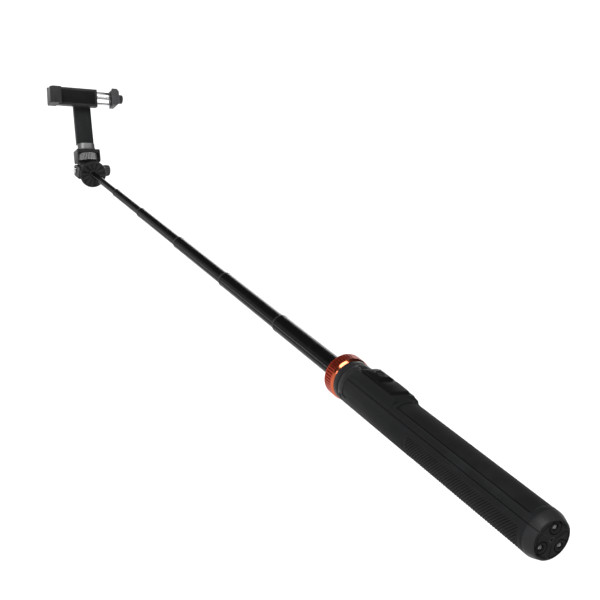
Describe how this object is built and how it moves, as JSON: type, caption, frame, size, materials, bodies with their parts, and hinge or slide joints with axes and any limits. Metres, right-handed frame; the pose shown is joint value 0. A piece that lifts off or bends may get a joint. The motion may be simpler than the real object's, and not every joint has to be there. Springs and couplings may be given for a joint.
{
  "type": "selfie stick",
  "caption": "Telescoping selfie stick with a handle that opens into a tripod, an orange lock ring, a removable remote, a tilting head and a screw-closed phone clamp.",
  "frame": {"origin": "middle of the butt end, where the three closed legs meet", "axes": "+X along the stick to the head, +Z to the side that carries the remote, +Y to the left looking along +X"},
  "size_m": [0.9914, 0.0995, 0.1218],
  "materials": {
    "collar_black": "satin moulded",
    "dark_aluminium": "dark anodised",
    "inner_black": "moulded",
    "nylon": "natural nylon",
    "orange_anodised": "orange anodised, knurled, bright cut edge",
    "steel": "zinc plated",
    "leg_black": "fine texture",
    "grip_rubber": "ribbed",
    "panel_black": "smooth",
    "cap_grey": "satin",
    "pad_rubber": "moulded",
    "remote_black": "moulded",
    "remote_gloss": "semi-gloss",
    "board_green": "solder mask",
    "button_black": "semi-gloss",
    "screw_black": "blackened",
    "tube_black": "gloss black anodised",
    "head_black": "fine texture",
    "bolt_chrome": "polished",
    "wheel_grey": "knurled",
    "neck_silver": "satin anodised",
    "clamp_black": "fine texture",
    "knob_grey": "knurled"
  },
  "bodies": {
    "handle": {"collar": "collar_black", "guide_tube": "dark_aluminium", "guide_plug": "inner_black", "collet": "nylon", "hinge_pins": "steel"},
    "ring": {"lock_ring": "orange_anodised"},
    "leg_a_body": {"leg_a": "leg_black", "grip_a": "grip_rubber", "foot_cap_a": "cap_grey", "foot_pad_a": "pad_rubber", "foot_screw_a": "screw_black"},
    "leg_b_body": {"leg_b": "leg_black", "grip_b": "panel_black", "foot_cap_b": "cap_grey", "foot_pad_b": "pad_rubber", "foot_screw_b": "screw_black"},
    "leg_c_body": {"leg_c": "leg_black", "grip_c": "grip_rubber", "foot_cap_c": "cap_grey", "foot_pad_c": "pad_rubber", "foot_screw_c": "screw_black"},
    "remote": {"remote_base": "remote_black", "remote_cover": "remote_gloss", "remote_board": "board_green", "coin_cell": "steel", "battery_door": "remote_black"},
    "shutter": {"shutter_button": "button_black"},
    "section_1": {"tube_1": "tube_black", "bush_1": "nylon"},
    "section_2": {"tube_2": "tube_black", "bush_2": "nylon"},
    "section_3": {"tube_3": "tube_black", "bush_3": "nylon"},
    "section_4": {"tube_4": "tube_black", "bush_4": "nylon"},
    "section_5": {"tube_5": "tube_black", "bush_5": "nylon"},
    "section_6": {"tube_6": "tube_black", "bush_6": "nylon", "head_fork": "head_black", "tilt_bolt": "bolt_chrome"},
    "tilt_knob_body": {"tilt_knob": "head_black"},
    "head": {"tilt_block": "head_black"},
    "wheel": {"thumbwheel": "wheel_grey", "stud": "steel"},
    "holder": {"neck": "neck_silver", "spine": "head_black", "pivot_rivet": "steel"},
    "clamp": {"clamp_body": "clamp_black", "clamp_cover": "clamp_black", "back_pad": "pad_rubber", "fixed_pad": "pad_rubber"},
    "jaw": {"moving_jaw": "clamp_black", "moving_pad": "pad_rubber", "guide_rods": "steel"},
    "jaw_screw": {"lead_screw": "steel", "jaw_knob": "knob_grey"}
  },
  "joints": [
    {"name": "ring_twist", "type": "hinge", "parent": "handle", "child": "ring", "pos_m": [0.2535, 0, 0], "axis": [1, 0, 0], "range_deg": [0, 60]},
    {"name": "leg_a_swing", "type": "hinge", "parent": "handle", "child": "leg_a_body", "pos_m": [0.2353, 0.01264, -0.0073], "axis": [0, -0.5, -0.866], "range_deg": [0, 26]},
    {"name": "leg_b_swing", "type": "hinge", "parent": "handle", "child": "leg_b_body", "pos_m": [0.2353, 0, 0.0146], "axis": [0, 1, 0], "range_deg": [0, 26]},
    {"name": "leg_c_swing", "type": "hinge", "parent": "handle", "child": "leg_c_body", "pos_m": [0.2353, -0.01264, -0.0073], "axis": [0, -0.5, 0.866], "range_deg": [0, 26]},
    {"name": "remote_lift", "type": "slide", "parent": "leg_b_body", "child": "remote", "axis": [0, 0, 1], "range_m": [0, 0.03]},
    {"name": "shutter_press", "type": "slide", "parent": "remote", "child": "shutter", "axis": [0, 0, -1], "range_m": [0, 0.0004], "stiffness_N_per_m": 300, "springref_m": -0.001},
    {"name": "section_1_slide", "type": "slide", "parent": "handle", "child": "section_1", "axis": [1, 0, 0], "range_m": [-0.113, 0.065]},
    {"name": "section_2_slide", "type": "slide", "parent": "section_1", "child": "section_2", "axis": [1, 0, 0], "range_m": [-0.118, 0.065]},
    {"name": "section_3_slide", "type": "slide", "parent": "section_2", "child": "section_3", "axis": [1, 0, 0], "range_m": [-0.119, 0.057]},
    {"name": "section_4_slide", "type": "slide", "parent": "section_3", "child": "section_4", "axis": [1, 0, 0], "range_m": [-0.114, 0.055]},
    {"name": "section_5_slide", "type": "slide", "parent": "section_4", "child": "section_5", "axis": [1, 0, 0], "range_m": [-0.085, 0.077]},
    {"name": "section_6_slide", "type": "slide", "parent": "section_5", "child": "section_6", "axis": [1, 0, 0], "range_m": [-0.088, 0.067]},
    {"name": "tilt_knob_turn", "type": "hinge", "parent": "section_6", "child": "tilt_knob_body", "pos_m": [0.935, -0.02397, 0.00126], "axis": [0, 0.9986, -0.0523], "range_deg": [0, 180]},
    {"name": "head_tilt", "type": "hinge", "parent": "section_6", "child": "head", "pos_m": [0.935, 0, 0], "axis": [0, 0.9986, -0.0523], "range_deg": [-34, 62]},
    {"name": "wheel_spin", "type": "hinge", "parent": "head", "child": "wheel", "pos_m": [0.94275, 0.00076, 0.01455], "axis": [0.4695, 0.0462, 0.8817], "continuous": true},
    {"name": "holder_pan", "type": "hinge", "parent": "head", "child": "holder", "pos_m": [0.94908, 0.00139, 0.02645], "axis": [0.4695, 0.0462, 0.8817], "range_deg": [-90, 90]},
    {"name": "clamp_turn", "type": "hinge", "parent": "holder", "child": "clamp", "pos_m": [0.9796, 0.00439, 0.08377], "axis": [-0.8829, 0.0246, 0.4688], "range_deg": [0, 90]},
    {"name": "jaw_slide", "type": "slide", "parent": "clamp", "child": "jaw", "axis": [-0.0188, -0.9997, 0.0169], "range_m": [-0.015, 0.02]},
    {"name": "jaw_knob_turn", "type": "hinge", "parent": "jaw", "child": "jaw_screw", "pos_m": [0.97572, -0.04547, 0.08889], "axis": [-0.0188, -0.9997, 0.0169], "range_deg": [-1350, 1800]}
  ],
  "couplings": [
    {"joint": "jaw_knob_turn", "follows": "jaw_slide", "rad_per_m": 1570.8}
  ]
}
